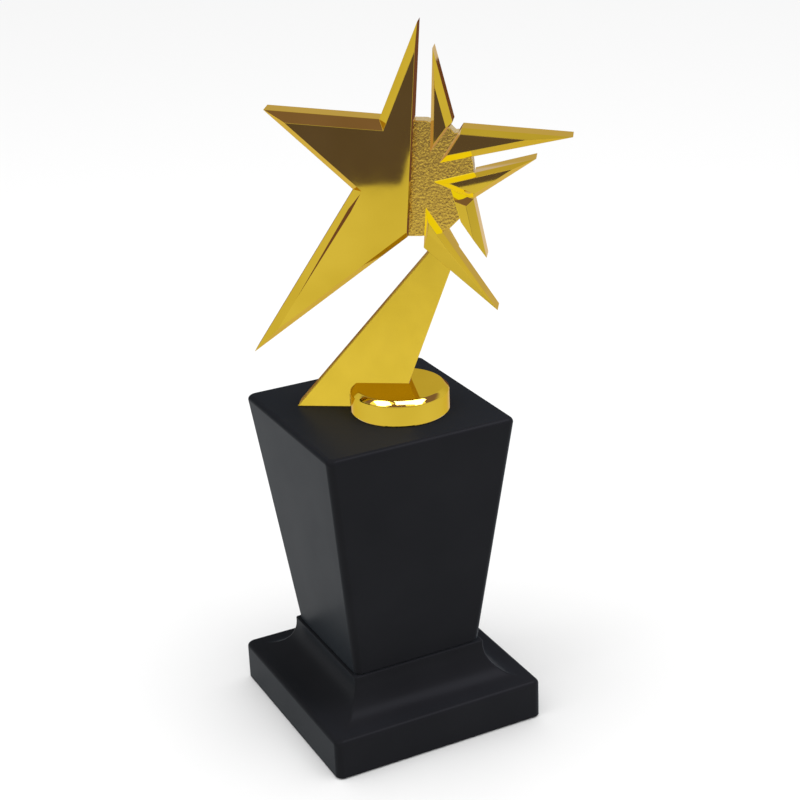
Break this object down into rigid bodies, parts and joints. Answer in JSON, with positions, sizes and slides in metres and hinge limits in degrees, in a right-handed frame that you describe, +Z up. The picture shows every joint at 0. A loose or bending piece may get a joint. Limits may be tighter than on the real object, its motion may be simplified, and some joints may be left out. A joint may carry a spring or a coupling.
{
  "type": "star trophy",
  "caption": "Award with a faceted gold star, one large half and separate shards, held by a slanted fin and disc on a black tapered square column and moulded plinth.",
  "frame": {"origin": "middle of the felt's underside, on the column's axis, where the trophy stands on a table", "axes": "+Z up, -Y out of the front face of the column, +X to that face's right"},
  "size_m": [0.1071, 0.0971, 0.281],
  "materials": {
    "black lacquer": "black satin lacquer",
    "gold mirror": "polished gold plate",
    "gold blasted": "sand-blasted gold plate",
    "steel": "zinc-plated",
    "felt": "black felt"
  },
  "bodies": {
    "root": {"felt_pad": "felt", "plinth": "black lacquer", "column": "black lacquer", "tie_rod": "steel", "tie_rod_washer": "steel", "tie_rod_nut": "steel", "column_screw_left": "steel", "column_screw_right": "steel", "disc_foot": "gold mirror", "fin": "gold mirror", "star_body": "gold mirror", "core_plate": "gold blasted", "shard_top": "gold mirror", "shard_right": "gold mirror", "shard_lower_right": "gold mirror", "shard_small": "gold mirror", "shard_bottom": "gold mirror", "fin_screw_left": "steel", "fin_screw_right": "steel", "star_screw_left": "steel", "star_screw_right": "steel", "body_screw_lower": "steel", "body_screw_upper": "steel"}
  },
  "joints": []
}
